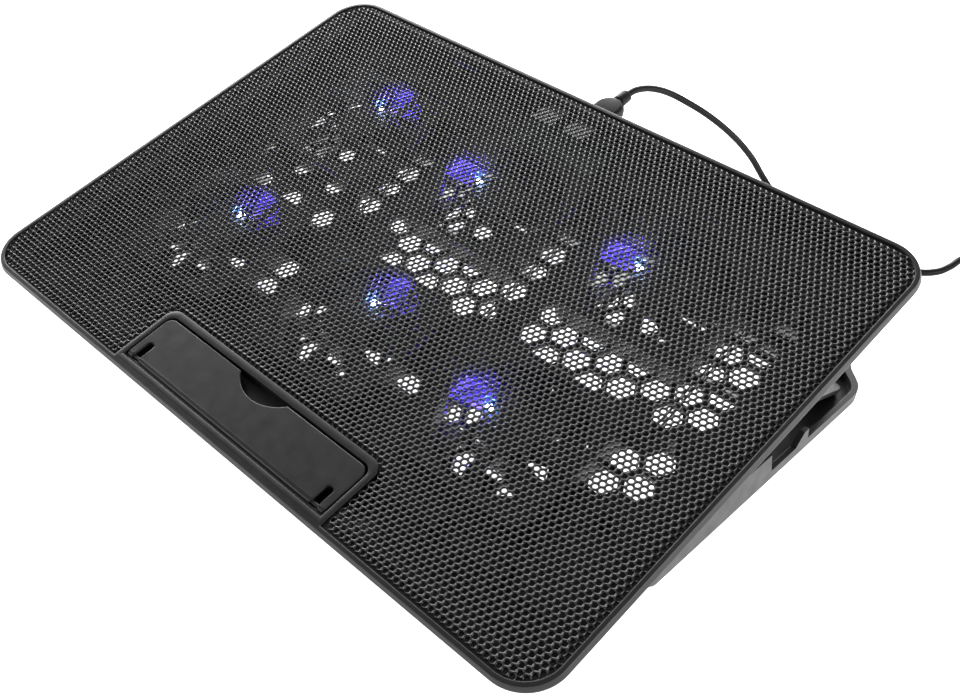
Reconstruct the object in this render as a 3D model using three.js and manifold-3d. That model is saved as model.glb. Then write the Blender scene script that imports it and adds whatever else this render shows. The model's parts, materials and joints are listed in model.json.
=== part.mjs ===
// Laptop cooling pad: a tilting fan deck on a low stand, with a fold-out prop, a laptop stop at the
// front, six lit fans and a USB lead. Millimetres, +Z up, X across, Y from the front edge to the rear.
import * as THREE from 'three';
import { mergeVertices } from 'three/addons/utils/BufferGeometryUtils.js';
import Module from 'manifold-3d';

const wasm = await Module();
wasm.setup();

// ---- driving dimensions -------------------------------------------------------------------------
const GAP = 0.3; // clearance kept between touching pieces

// deck, measured in its own plane: s runs from the front edge to the rear, z is 0 on its top face
const DECK_WIDTH = 360;
const DECK_DEPTH = 261.2;
const DECK_CORNER = 20;
const RIM_HEIGHT = 3;
const RIM_STRIP = 3.8;
const MESH_THICK = 1;
const LEDGE_WIDTH = 3.7;
const FLANGE_TOP = -3.3;
const FLANGE_BOTTOM = -4.6;
const FLANGE_INSET = 0.5;

// belly under the deck, which holds the fans
const BELLY_HALF = 165;
const BELLY_BOTTOM = -18.4;
const BELLY_WALL = 2;
const BELLY_FRONT = 12;
const BELLY_FULL_FROM = 36;
const BELLY_FULL_TO = 231;
const PORT_BAY_BOTTOM = -15.2;
const BELLY_REAR = 254.5;
const BELLY_CORNER = 10;

// tilt: the deck turns about two pins low down near its front edge
const TILT = THREE.MathUtils.degToRad(12.42);
const FRONT_EDGE_HEIGHT = 16;
const HINGE_S = 31.6;
const HINGE_BELOW = 12.6;
const PIN_RADIUS = 2;
const PIN_HOLE = 2.3;

// prop: a framed plate that folds flat under the belly
const PROP_S = 161.5;
const PROP_BELOW = 19.7;
const PROP_LENGTH = 76;
const PROP_HALF = 164.5;
const PROP_THICK = 2;
const PROP_END_CLEARANCE = 0.7;
const PROP_BARREL = 1.9;
const PROP_PIN = 0.8;
const PROP_PIN_HOLE = 1.1;

// stand
const STAND_HALF = 171;
const STAND_WALL = 2.4;
const STAND_BOTTOM = 1;
const SHELF_TOP = 2;
const RAIL_TOP = 6.5;
const CHEEK_TOP = 18.2;
const STAND_FRONT = 84.5;
const STAND_REAR = 253;
const FOOT_HEIGHT = 0.7;

// fans
const FAN_SIZE = 70;
const FAN_BORE = 32.6;
const FAN_TOP = -4.6;
const FAN_BOTTOM = -16.1;
const FAN_HUB = 13;
const BLADE_COUNT = 7;
const BLADE_TIP = 31.4;
const FAN_COLUMNS = [-99.5, -2.9, 93.7];
const FAN_ROWS = [86, 185];
const LED_ALONG = 13.4;
const LED_ACROSS = 2.4;

// vents: coarse hexagons that stand for the fine honeycomb
const VENT_PITCH = 28;
const VENT_RADIUS = 14;

// laptop stop and its tray
const STOP_HALF = 66.2;
const STOP_FRONT = 7.6;
const STOP_REAR = 33.7;
const STOP_AXIS_S = 9;
const STOP_AXIS_Z = -2;
const STOP_PIN = 1;
const TRAY_HALF = 67;
const TRAY_FRONT = 6;
const TRAY_REAR = 34.8;
const TRAY_OUTER_HALF = 69.9;
const TRAY_OUTER_REAR = 38.6;
const TRAY_FLOOR = -6.5;
const TRAY_BOTTOM = -8;

// rear electronics
const PORT_Z = -8.5;
const PORT_X = [-22.5, -2];
const PORT_WIDTH = 13.1;
const PORT_HEIGHT = 5.7;
const PORT_FRONT = 240.2;
const PORT_REAR = 254.2;
const SWITCH_X = 12;
const SWITCH_TRAVEL = 3;

// lead
const CABLE_RADIUS = 1.75;
const PLUG_WIDTH = 15;
const PLUG_HEIGHT = 7;
const PLUG_LENGTH = 21;
const RELIEF_LENGTH = 7;
const COIL_X = 190;
const COIL_Y = 358;
const COIL_INNER = 15.5;
const COIL_OUTER = 22.6;

// worked out from the above
const HINGE_Y = HINGE_S * Math.cos(TILT) + HINGE_BELOW * Math.sin(TILT);
const HINGE_Z = FRONT_EDGE_HEIGHT + HINGE_S * Math.sin(TILT) - HINGE_BELOW * Math.cos(TILT);
const PROP_HEIGHT = FRONT_EDGE_HEIGHT + PROP_S * Math.sin(TILT) - PROP_BELOW * Math.cos(TILT);
const PROP_SLOPE = Math.asin((PROP_HEIGHT - SHELF_TOP - PROP_END_CLEARANCE - PROP_THICK / 2) / PROP_LENGTH);
const CENTRE_Y = (DECK_DEPTH * Math.cos(TILT) + RIM_HEIGHT * Math.sin(TILT)) / 2;
const DECK_MIDDLE = DECK_DEPTH / 2;

// ---- colours ------------------------------------------------------------------------------------
const FINISH = {
  shell: { color: 0x2c2c2e, roughness: 0.45, metalness: 0 },
  steel: { color: 0x3a3a3d, roughness: 0.5, metalness: 0.6 },
  cover: { color: 0x202022, roughness: 0.55, metalness: 0 },
  fan: { color: 0x1a1a1c, roughness: 0.5, metalness: 0 },
  led: { color: 0x3a4cff, roughness: 0.2, metalness: 0 },
  nickel: { color: 0xb9bbbd, roughness: 0.25, metalness: 1 },
  board: { color: 0x1d3b26, roughness: 0.6, metalness: 0 },
  rubber: { color: 0x161616, roughness: 0.8, metalness: 0 },
  insulator: { color: 0xe6e6e2, roughness: 0.5, metalness: 0 },
  wire: { color: 0x8c1f1c, roughness: 0.5, metalness: 0 },
};

// ---- helpers ------------------------------------------------------------------------------------
function toSolid(geometry) {
  const plain = geometry.clone();
  plain.deleteAttribute('normal');
  plain.deleteAttribute('uv');
  const merged = mergeVertices(plain, 1e-4);
  return new wasm.Manifold(new wasm.Mesh({
    numProp: 3,
    vertProperties: new Float32Array(merged.attributes.position.array),
    triVerts: new Uint32Array(merged.index.array),
  }));
}

function toGeometry(solid) {
  const mesh = solid.getMesh();
  const geometry = new THREE.BufferGeometry();
  geometry.setAttribute('position', new THREE.BufferAttribute(new Float32Array(mesh.vertProperties), 3));
  geometry.setIndex(new THREE.BufferAttribute(new Uint32Array(mesh.triVerts), 1));
  geometry.computeVertexNormals();
  return geometry;
}

function join(...solids) {
  return solids.reduce((whole, solid) => whole.add(solid));
}

function cut(solid, ...tools) {
  return tools.reduce((rest, tool) => rest.subtract(tool), solid);
}

function part(name, shape, finish) {
  const geometry = shape.isBufferGeometry ? shape : toGeometry(shape);
  const mesh = new THREE.Mesh(geometry, new THREE.MeshStandardMaterial(FINISH[finish]));
  mesh.name = name;
  return mesh;
}

function box(x0, x1, y0, y1, z0, z1) {
  const geometry = new THREE.BoxGeometry(x1 - x0, y1 - y0, z1 - z0);
  geometry.translate((x0 + x1) / 2, (y0 + y1) / 2, (z0 + z1) / 2);
  return toSolid(geometry);
}

// outline of a rounded rectangle; corners is one radius or [front left, front right, rear right, rear left]
function roundedOutline(x0, x1, y0, y1, corners, steps = 6) {
  const radii = Array.isArray(corners) ? corners : [corners, corners, corners, corners];
  const centres = [
    [x0 + radii[0], y0 + radii[0], Math.PI],
    [x1 - radii[1], y0 + radii[1], 1.5 * Math.PI],
    [x1 - radii[2], y1 - radii[2], 0],
    [x0 + radii[3], y1 - radii[3], 0.5 * Math.PI],
  ];
  const points = [];
  centres.forEach(([cx, cy, start], corner) => {
    const count = radii[corner] > 0 ? steps : 0;
    for (let i = 0; i <= count; i += 1) {
      const angle = start + (count ? (i / count) * 0.5 * Math.PI : 0);
      points.push(new THREE.Vector2(cx + radii[corner] * Math.cos(angle), cy + radii[corner] * Math.sin(angle)));
    }
  });
  return points;
}

// a flat outline in X and Y raised from z0 to z1
function slab(points, z0, z1) {
  const geometry = new THREE.ExtrudeGeometry(new THREE.Shape(points), { depth: z1 - z0, bevelEnabled: false });
  geometry.translate(0, 0, z0);
  return toSolid(geometry);
}

// an outline in Y and Z swept along X from x0 to x1
function profile(points, x0, x1) {
  const shape = new THREE.Shape(points.map(([y, z]) => new THREE.Vector2(y, z)));
  const geometry = new THREE.ExtrudeGeometry(shape, { depth: x1 - x0, bevelEnabled: false });
  geometry.applyMatrix4(new THREE.Matrix4().set(0, 0, 1, x0, 1, 0, 0, 0, 0, 1, 0, 0, 0, 0, 0, 1));
  return toSolid(geometry);
}

// a rod along X
function rod(radius, x0, x1, y, z, sides = 16) {
  const geometry = new THREE.CylinderGeometry(radius, radius, x1 - x0, sides);
  geometry.rotateZ(Math.PI / 2);
  geometry.translate((x0 + x1) / 2, y, z);
  return toSolid(geometry);
}

// an upright round post
function post(radius, x, y, z0, z1, sides = 16) {
  const geometry = new THREE.CylinderGeometry(radius, radius, z1 - z0, sides);
  geometry.rotateX(Math.PI / 2);
  geometry.translate(x, y, (z0 + z1) / 2);
  return toSolid(geometry);
}

function tube(points, radius, sides, steps) {
  const section = new THREE.Shape();
  for (let i = 0; i < sides; i += 1) {
    const angle = (2 * Math.PI * i) / sides;
    const corner = [radius * Math.cos(angle), radius * Math.sin(angle)];
    if (i === 0) section.moveTo(...corner);
    else section.lineTo(...corner);
  }
  const path = new THREE.CatmullRomCurve3(points.map((p) => new THREE.Vector3(...p)), false, 'centripetal');
  return new THREE.ExtrudeGeometry(section, { steps, extrudePath: path, bevelEnabled: false });
}

// ---- deck shell -----------------------------------------------------------------------------------
function deckOutline(inset, steps = 6) {
  const half = DECK_WIDTH / 2 - inset;
  return roundedOutline(-half, half, inset, DECK_DEPTH - inset, DECK_CORNER - inset, steps);
}

const SCREW_PLACES = [
  [-150, 6.3], [150, 6.3],
  [-174.4, DECK_MIDDLE], [174.4, DECK_MIDDLE],
  [-150, 257.4], [150, 257.4],
];

function topFrame() {
  const ring = cut(
    slab(deckOutline(0), -RIM_HEIGHT, 0),
    slab(deckOutline(RIM_STRIP), -RIM_HEIGHT / 2 + 0.2, 1),
    slab(deckOutline(RIM_STRIP + LEDGE_WIDTH), -RIM_HEIGHT - 1, 1),
  );
  const trayLedge = slab(roundedOutline(-73.5, 73.5, 3, 42, [0, 0, 6, 6]), -RIM_HEIGHT, -MESH_THICK - GAP);
  const trayBlock = slab(
    roundedOutline(-TRAY_OUTER_HALF, TRAY_OUTER_HALF, 2, TRAY_OUTER_REAR, [0, 0, 6, 6]), TRAY_BOTTOM, 0,
  );
  const cavity = slab(roundedOutline(-TRAY_HALF, TRAY_HALF, TRAY_FRONT, TRAY_REAR, [0, 0, 4.8, 4.8]), TRAY_FLOOR, 1);
  const fingerWell = slab(roundedOutline(-14, 14, 28, TRAY_REAR + 1, [3, 3, 0, 0]), TRAY_FLOOR + 0.01, 1);
  const frontRelief = box(-TRAY_OUTER_HALF - 1, TRAY_OUTER_HALF + 1, 0, 4.4, TRAY_BOTTOM - 1, -RIM_HEIGHT);
  const axis = rod(STOP_PIN + GAP, -69, 69, STOP_AXIS_S, STOP_AXIS_Z);
  const screwHoles = SCREW_PLACES.map(([x, s]) => post(1.5, x, s, -RIM_HEIGHT - 1, -1.9, 8));
  return cut(join(ring, trayLedge, trayBlock), cavity, fingerWell, frontRelief, axis, ...screwHoles);
}

function meshPanel() {
  const plate = slab(deckOutline(RIM_STRIP + GAP), -MESH_THICK, 0);
  const notch = slab(
    roundedOutline(-TRAY_OUTER_HALF - GAP, TRAY_OUTER_HALF + GAP, -1, TRAY_OUTER_REAR + GAP, [0, 0, 6.2, 6.2]), -3, 3,
  );
  return cut(plate, notch);
}

function bellyProfile(inset) {
  const floor = BELLY_BOTTOM + inset;
  const bay = PORT_BAY_BOTTOM + inset;
  const top = FLANGE_TOP + (inset > 0 ? 2 : 0);
  const front = BELLY_FRONT + inset * 1.25;
  return [
    [front - (inset > 0 ? 3.5 : 0), top],
    [front, FLANGE_BOTTOM],
    [BELLY_FULL_FROM + inset * 0.55, floor],
    [BELLY_FULL_TO - inset * 0.9, floor],
    [BELLY_FULL_TO + 2 - inset * 0.9, bay],
    [BELLY_REAR - inset, bay],
    [BELLY_REAR - inset, top],
  ];
}

function hexagon(x, y, radius) {
  const points = [];
  for (let i = 0; i < 6; i += 1) {
    const angle = (Math.PI / 3) * i;
    points.push(new THREE.Vector2(x + radius * Math.cos(angle), y + radius * Math.sin(angle)));
  }
  return points;
}

function vents() {
  const holes = [];
  const step = (VENT_PITCH * Math.sqrt(3)) / 2;
  for (let column = -5; column <= 5; column += 1) {
    const shift = Math.abs(column % 2) * (VENT_PITCH / 2);
    for (let row = 0; row < 6; row += 1) {
      const s = 63 + row * VENT_PITCH + shift;
      const clearOfProp = Math.abs(s - PROP_S) > VENT_RADIUS + 3;
      if (s < 215 && clearOfProp) {
        holes.push(slab(hexagon(column * step, s, VENT_RADIUS), BELLY_BOTTOM - 1, BELLY_BOTTOM + BELLY_WALL + 0.5));
      }
    }
  }
  return holes;
}

function bottomCover() {
  const plan = (inset) => slab(
    roundedOutline(
      -BELLY_HALF + inset, BELLY_HALF - inset, BELLY_FRONT - 4 + inset, BELLY_REAR - inset, BELLY_CORNER - inset,
    ), -30, 10,
  );
  const outside = profile(bellyProfile(0), -BELLY_HALF, BELLY_HALF).intersect(plan(0));
  const inside = profile(bellyProfile(BELLY_WALL), -BELLY_HALF, BELLY_HALF).intersect(plan(BELLY_WALL));
  const flange = slab(deckOutline(FLANGE_INSET), FLANGE_BOTTOM, FLANGE_TOP);
  const lugs = [];
  for (const side of [-1, 1]) {
    const [x0, x1] = side < 0 ? [-160, -157] : [157, 160];
    lugs.push(box(x0, x1, PROP_S - 2.4, PROP_S + 2.4, -PROP_BELOW - 1.9, BELLY_BOTTOM + 1.4));
  }
  const barrelGroove = box(-BELLY_HALF - 1, BELLY_HALF + 1, PROP_S - 2.5, PROP_S + 2.5, BELLY_BOTTOM - 1, BELLY_BOTTOM + 1);
  const portHoles = PORT_X.map((x) => box(
    x - PORT_WIDTH / 2 - 0.4, x + PORT_WIDTH / 2 + 0.4, BELLY_REAR - 3, BELLY_REAR + 1,
    PORT_Z - PORT_HEIGHT / 2 - 0.4, PORT_Z + PORT_HEIGHT / 2 + 0.4,
  ));
  const switchSlot = box(SWITCH_X - 3.7, SWITCH_X + 3.7, BELLY_REAR - 3, BELLY_REAR + 1, -9.9, -7.6);
  const pinHoles = rod(PIN_HOLE, -BELLY_HALF - 1, BELLY_HALF + 1, HINGE_S, -HINGE_BELOW);
  const propPins = rod(PROP_PIN_HOLE, -163, 163, PROP_S, -PROP_BELOW, 10);
  const screwHoles = SCREW_PLACES.map(([x, s]) => post(1.5, x, s, FLANGE_BOTTOM - 1, FLANGE_TOP + 1, 8));
  const trayRoom = box(-71.5, 71.5, 0, 41, TRAY_BOTTOM - GAP, 0);
  const shell = cut(join(outside, flange), inside, barrelGroove);
  return cut(join(shell, ...lugs), trayRoom, pinHoles, propPins, switchSlot, ...portHoles, ...screwHoles, ...vents());
}

function screw(x, s) {
  return join(post(2.7, x, s, FLANGE_BOTTOM - GAP - 1.2, FLANGE_BOTTOM - GAP, 10), post(1.2, x, s, FLANGE_BOTTOM - 1, -2.2, 6));
}

function deckPad(x) {
  return slab(
    roundedOutline(x - 17.5, x + 17.5, 44, 59, 3, 3), BELLY_BOTTOM - 1.5 - GAP, BELLY_BOTTOM - GAP,
  );
}

// ---- laptop stop ----------------------------------------------------------------------------------
function laptopStop() {
  const top = -0.1;
  const plate = slab(roundedOutline(-STOP_HALF, STOP_HALF, STOP_FRONT, STOP_REAR, [0, 0, 4.5, 4.5]), top - 2.2, top);
  const barrel = rod(1.9, -58, 58, STOP_AXIS_S, STOP_AXIS_Z);
  const pins = rod(STOP_PIN, -68.6, 68.6, STOP_AXIS_S, STOP_AXIS_Z, 12);
  const pinGap = box(-62.5, 62.5, 6, 12, -6, 2);
  const sidePins = cut(pins, pinGap);
  const slots = [-1, 1].map((side) => slab(
    roundedOutline(side * 60.5 - 2, side * 60.5 + 2, STOP_FRONT - 2, 18.3, [0, 0, 1.9, 1.9], 4), -5, 2,
  ));
  const fingerNotch = post(20.2, 0, STOP_REAR + 12.7, -5, 2, 48);
  return join(cut(join(plate, barrel), fingerNotch, ...slots), sidePins);
}

// ---- fans -----------------------------------------------------------------------------------------
// the LED sits beside the hub, a quarter turn round on three of the fans
function ledOffset(turned) {
  return turned ? [-LED_ALONG, LED_ACROSS] : [LED_ACROSS, LED_ALONG];
}

function fanFrame(turned) {
  const half = FAN_SIZE / 2;
  const body = cut(
    slab(roundedOutline(-half, half, -half, half, 6, 3), FAN_BOTTOM, FAN_TOP),
    post(FAN_BORE, 0, 0, FAN_BOTTOM - 1, FAN_TOP + 1, 32),
  );
  const arms = [];
  for (let i = 0; i < 4; i += 1) {
    const geometry = new THREE.BoxGeometry(2.4, 30, 1.5);
    geometry.translate(12, FAN_BORE - 14, FAN_TOP - 0.75);
    geometry.rotateZ((Math.PI / 2) * i);
    arms.push(toSolid(geometry));
  }
  const disc = post(FAN_HUB, 0, 0, FAN_TOP - 1.5, FAN_TOP, 20);
  const [x, y] = ledOffset(turned);
  const pad = box(x - 2.6, x + 2.6, y - 2.6, y + 2.6, FAN_TOP - 1.5, FAN_TOP - 0.8);
  const seat = post(1.5 + GAP, x, y, FAN_TOP - 0.8, FAN_TOP + 1, 10);
  return cut(join(body, disc, pad, ...arms), seat);
}

function blade() {
  const stations = [11, 17, 23, BLADE_TIP];
  const rings = stations.map((radius, i) => {
    const pitch = THREE.MathUtils.degToRad(40 - i * 5);
    const sweep = THREE.MathUtils.degToRad(4 + i * 5);
    const chord = 9.5 + i * 1.6;
    const corners = [[-chord / 2, -0.55], [chord / 2, -0.55], [chord / 2, 0.55], [-chord / 2, 0.55]];
    return corners.map(([along, across]) => {
      const around = along * Math.cos(pitch) - across * Math.sin(pitch);
      const up = along * Math.sin(pitch) + across * Math.cos(pitch);
      const angle = sweep + around / radius;
      return [radius * Math.cos(angle), radius * Math.sin(angle), up - 10.6];
    });
  });
  const positions = rings.flat(2);
  const index = [0, 2, 1, 0, 3, 2];
  for (let i = 0; i < rings.length - 1; i += 1) {
    for (let k = 0; k < 4; k += 1) {
      const a = i * 4 + k;
      const b = i * 4 + ((k + 1) % 4);
      index.push(a, b, a + 4, b, b + 4, a + 4);
    }
  }
  const last = (rings.length - 1) * 4;
  index.push(last, last + 1, last + 2, last, last + 2, last + 3);
  const geometry = new THREE.BufferGeometry();
  geometry.setAttribute('position', new THREE.Float32BufferAttribute(positions, 3));
  geometry.setIndex(index);
  return geometry;
}

function impeller() {
  const hub = post(12, 0, 0, -15.2, -6.6, 4 * BLADE_COUNT);
  const blades = [];
  for (let i = 0; i < BLADE_COUNT; i += 1) {
    const geometry = blade();
    geometry.rotateZ((2 * Math.PI * i) / BLADE_COUNT);
    blades.push(toSolid(geometry));
  }
  return join(hub, ...blades);
}

function led() {
  const dome = new THREE.LatheGeometry([
    new THREE.Vector2(0, 0), new THREE.Vector2(1.5, 0), new THREE.Vector2(1.5, 1.3),
    new THREE.Vector2(1, 2), new THREE.Vector2(0, 2.3),
  ], 10);
  dome.rotateX(Math.PI / 2);
  dome.translate(0, 0, FAN_TOP - 0.5);
  return toSolid(dome);
}

// ---- rear electronics -----------------------------------------------------------------------------
function usbPort() {
  const half = PORT_WIDTH / 2;
  const tall = PORT_HEIGHT / 2;
  return cut(
    box(-half, half, PORT_FRONT, PORT_REAR, -tall, tall),
    box(-half + 0.4, half - 0.4, PORT_FRONT + 0.8, PORT_REAR + 1, -tall + 0.4, tall - 0.4),
  );
}

function usbTongue() {
  return box(-5.3, 5.3, PORT_FRONT + 1.1, PORT_REAR - 3.4, 0.2, 1.7);
}

function switchBody() {
  return cut(
    box(SWITCH_X - 5, SWITCH_X + 5, 244.8, 252.2, -11.3, -6.4),
    box(SWITCH_X - 3.7, SWITCH_X + 3.7, 249, 253, -9.9, -7.6),
  );
}

function switchSlider() {
  const left = SWITCH_X - SWITCH_TRAVEL / 2 - 1.6;
  return box(left, left + 3.2, 249.4, BELLY_REAR + 1.2, -9.6, -7.9);
}

// ---- stand ----------------------------------------------------------------------------------------
// plan of the stand: straight sides, rear corners that sweep back into a full-width rear edge
function standOutline(inset) {
  const half = STAND_HALF - inset;
  const rear = STAND_REAR - inset;
  const shape = new THREE.Shape();
  shape.moveTo(half, STAND_FRONT + inset);
  shape.lineTo(half, 229);
  shape.bezierCurveTo(half, 238 - inset, 165 - inset, 240 - inset, 161 - inset, 244.5 - inset);
  shape.bezierCurveTo(158 - inset, 248 - inset, 158 - inset, rear, 150, rear);
  const right = shape.getPoints(10);
  const left = right.map((p) => new THREE.Vector2(-p.x, p.y)).reverse();
  return [...right, ...left];
}

function cheekProfile() {
  const arm = [];
  for (let i = 0; i <= 8; i += 1) {
    const angle = (Math.PI / 2) * 3 - (Math.PI * i) / 8;
    arm.push([HINGE_Y + 6 * Math.cos(angle), HINGE_Z + 6 * Math.sin(angle)]);
  }
  return [
    ...arm,
    [HINGE_Y + 5, HINGE_Z + 6.6], [HINGE_Y + 11, CHEEK_TOP],
    [159.5, CHEEK_TOP], [163, RAIL_TOP], [181.5, RAIL_TOP], [186.5, RAIL_TOP + 6.3], [189.8, RAIL_TOP + 6.3],
    [191, RAIL_TOP], [225, RAIL_TOP], [225, STAND_BOTTOM], [STAND_FRONT, STAND_BOTTOM],
    [82.3, 1.9], [80.2, 3.6], [76, 4.5],
  ];
}

function standFrame() {
  const inner = STAND_HALF - STAND_WALL;
  const cheeks = [
    profile(cheekProfile(), -STAND_HALF, -inner),
    profile(cheekProfile(), inner, STAND_HALF),
  ];
  const walls = cut(slab(standOutline(0), STAND_BOTTOM, RAIL_TOP), slab(standOutline(STAND_WALL), 0, 10));
  const shelf = cut(
    slab(standOutline(0), STAND_BOTTOM, SHELF_TOP),
    slab(roundedOutline(-150, 150, 91.5, 226, 6, 3), 0, 10),
  );
  const frontRoom = box(-inner, inner, STAND_FRONT - 1, 120, 4.2, 10);
  const rearBar = slab(standOutline(0), STAND_BOTTOM, RAIL_TOP)
    .intersect(box(-200, 200, 241.5, 260, 0, 10));
  const rearHollow = box(-148, 148, 243.5, 251, 0, RAIL_TOP - 1.6);
  const ribs = [];
  for (const x of [-100, -50, 0, 50, 100]) {
    ribs.push(box(x - 0.8, x + 0.8, 243, 252, STAND_BOTTOM, RAIL_TOP - 1));
  }
  const pinHoles = rod(PIN_HOLE, -STAND_HALF - 1, STAND_HALF + 1, HINGE_Y, HINGE_Z);
  const barrelRoom = [box(-166, -149, 159.5, 167.5, 0, 3), box(149, 166, 159.5, 167.5, 0, 3)];
  const frame = cut(join(walls, shelf, rearBar), frontRoom, rearHollow, ...barrelRoom);
  return cut(join(frame, ...cheeks, ...ribs), pinHoles);
}

function hingePin(side) {
  const pin = join(
    rod(PIN_RADIUS, 162, STAND_HALF - 0.2, HINGE_Y, HINGE_Z),
    rod(PIN_RADIUS + 1.2, STAND_HALF + GAP, STAND_HALF + 1.5, HINGE_Y, HINGE_Z),
    rod(PIN_RADIUS - 0.2, STAND_HALF - 1, STAND_HALF + 1, HINGE_Y, HINGE_Z),
  );
  return side > 0 ? pin : pin.mirror([1, 0, 0]);
}

function standFoot(x, y) {
  return slab(roundedOutline(x - 8, x + 8, y - 4, y + 4, 2, 3), 0, FOOT_HEIGHT);
}

// ---- prop -----------------------------------------------------------------------------------------
function prop() {
  const half = PROP_THICK / 2;
  const plate = slab(roundedOutline(-PROP_HALF, PROP_HALF, -1, PROP_LENGTH, [0, 0, 6, 6], 4), -half, half);
  const windows = [[-148, -58], [-44, 44], [58, 148]].map(([x0, x1]) => slab(
    roundedOutline(x0, x1, 7, PROP_LENGTH - 9, 4, 2), -5, 5,
  ));
  const barrel = rod(PROP_BARREL, -PROP_HALF, PROP_HALF, 0, 0, 12);
  const lugRoom = [box(-160.4, -156.6, -4, 4.4, -4, 4), box(156.6, 160.4, -4, 4.4, -4, 4)];
  const bores = [
    rod(PROP_PIN_HOLE, -170, -149.5, 0, 0, 10),
    rod(PROP_PIN_HOLE, 149.5, 170, 0, 0, 10),
  ];
  return cut(join(cut(plate, ...windows), barrel), ...lugRoom, ...bores);
}

// ---- lead -----------------------------------------------------------------------------------------
// plug shells are open at the front above a solid block, and face -Y
function plugShell(length) {
  return cut(
    box(-6, 6, 0, length, -2.25, 2.25),
    box(-5.7, 5.7, -1, length - 1, -0.1, 1.95),
  );
}

function plugBoot() {
  const half = PLUG_WIDTH / 2;
  const tall = PLUG_HEIGHT / 2;
  const body = slab(roundedOutline(-half, half, 0, PLUG_LENGTH, [1.5, 1.5, 5.5, 5.5], 4), -tall, tall);
  const relief = new THREE.CylinderGeometry(2.6, 3.3, RELIEF_LENGTH + 1, 10);
  relief.translate(0, PLUG_LENGTH + RELIEF_LENGTH / 2 - 0.5, 0);
  return join(body, toSolid(relief));
}

// the lead leaves its plug behind the deck, drops to the table, runs out past the right-hand side
const CABLE_ROUTE = [
  [-2, 278.55, 68.65], [-1.3, 284.5, 69.3], [0.8, 292, 68.4], [3.6, 299.5, 65.7], [7.2, 307, 61.5],
  [12.6, 313.4, 56.6], [19.2, 320.6, 50.4], [26.6, 329.2, 41.6], [33.4, 337.6, 31.4], [40, 344.4, 20.4],
  [46.6, 347.6, 10.4], [54, 348, 4], [63, 346.6, 1.8], [76, 343.6, 1.8], [90, 339.8, 1.8], [105, 336.4, 1.8],
  [120, 334.6, 1.8], [134, 336, 1.8], [145.4, 341.2, 1.8], [151.2, 348.4, 1.8], [153.6, 357.6, 1.8],
  [154.4, 366.4, 1.8], [158.2, 374.2, 1.8], [166.6, 378.4, 1.8], [177.3, 378.9, 1.8],
];
const CABLE_STEPS = 60;
const TAIL_X = COIL_X + (COIL_INNER + COIL_OUTER) / 2 + CABLE_RADIUS;
const TAIL_ROUTE = [
  [TAIL_X, COIL_Y - 12.8, 1.8], [TAIL_X + 1, COIL_Y - 18, 2.5], [TAIL_X + 1.8, COIL_Y - 25, 3.5],
];

function cableCoil() {
  const ring = new THREE.LatheGeometry([
    new THREE.Vector2(COIL_INNER, 0.05), new THREE.Vector2(COIL_OUTER, 0.05),
    new THREE.Vector2(COIL_OUTER, 3.5), new THREE.Vector2(COIL_INNER, 3.5), new THREE.Vector2(COIL_INNER, 0.05),
  ], 32);
  ring.rotateX(Math.PI / 2);
  ring.translate(COIL_X, COIL_Y, 0);
  return toSolid(ring);
}

// ---- assembly -------------------------------------------------------------------------------------
const deck = new THREE.Group();
deck.position.set(0, HINGE_Y, HINGE_Z);
deck.rotation.x = TILT;
const panel = new THREE.Group();
panel.position.set(0, -HINGE_S, HINGE_BELOW);
deck.add(panel);

panel.add(part('top_frame', topFrame(), 'shell'));
panel.add(part('mesh_panel', meshPanel(), 'steel'));
panel.add(part('bottom_cover', bottomCover(), 'cover'));
panel.add(part('laptop_stop', laptopStop(), 'shell'));
SCREW_PLACES.forEach(([x, s], i) => panel.add(part(`cover_screw_${i + 1}`, screw(x, s), 'nickel')));
panel.add(part('deck_pad_left', deckPad(-115), 'rubber'));
panel.add(part('deck_pad_right', deckPad(115), 'rubber'));

let fanNumber = 0;
FAN_ROWS.forEach((s, row) => {
  FAN_COLUMNS.forEach((x, column) => {
    fanNumber += 1;
    const turned = column === 2 || (column === 1 && row === 1);
    const fan = new THREE.Group();
    fan.position.set(x, s, 0);
    fan.add(part(`fan_frame_${fanNumber}`, fanFrame(turned), 'fan'));
    fan.add(part(`impeller_${fanNumber}`, impeller(), 'fan'));
    const lamp = part(`led_${fanNumber}`, led(), 'led');
    const [dx, dy] = ledOffset(turned);
    lamp.position.set(dx, dy, 0);
    fan.add(lamp);
    panel.add(fan);
  });
});

panel.add(part('usb_board', box(-33, 20, 226, 251.8, -12.85, -11.65), 'board'));
PORT_X.forEach((x, i) => {
  const socket = new THREE.Group();
  socket.position.set(x, 0, PORT_Z);
  const side = i === 0 ? 'left' : 'right';
  socket.add(part(`usb_port_${side}`, usbPort(), 'nickel'));
  socket.add(part(`usb_tongue_${side}`, usbTongue(), 'insulator'));
  panel.add(socket);
});
panel.add(part('switch_body', switchBody(), 'cover'));
panel.add(part('switch_slider', switchSlider(), 'insulator'));

const propGroup = new THREE.Group();
propGroup.position.set(0, PROP_S, -PROP_BELOW);
propGroup.rotation.x = -(PROP_SLOPE + TILT);
propGroup.add(part('prop', prop(), 'shell'));
panel.add(propGroup);
panel.add(part('prop_pin_left', rod(PROP_PIN, -164, -150, PROP_S, -PROP_BELOW, 8), 'nickel'));
panel.add(part('prop_pin_right', rod(PROP_PIN, 150, 164, PROP_S, -PROP_BELOW, 8), 'nickel'));

const plug = new THREE.Group();
plug.position.set(PORT_X[1], 0, PORT_Z);
const nearShell = part('near_plug_shell', plugShell(12.1), 'nickel');
nearShell.position.set(0, 242.6, 0);
const nearBoot = part('near_plug_boot', plugBoot(), 'rubber');
nearBoot.position.set(0, BELLY_REAR + 0.5, 0);
plug.add(nearShell, nearBoot);
panel.add(plug);

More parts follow.
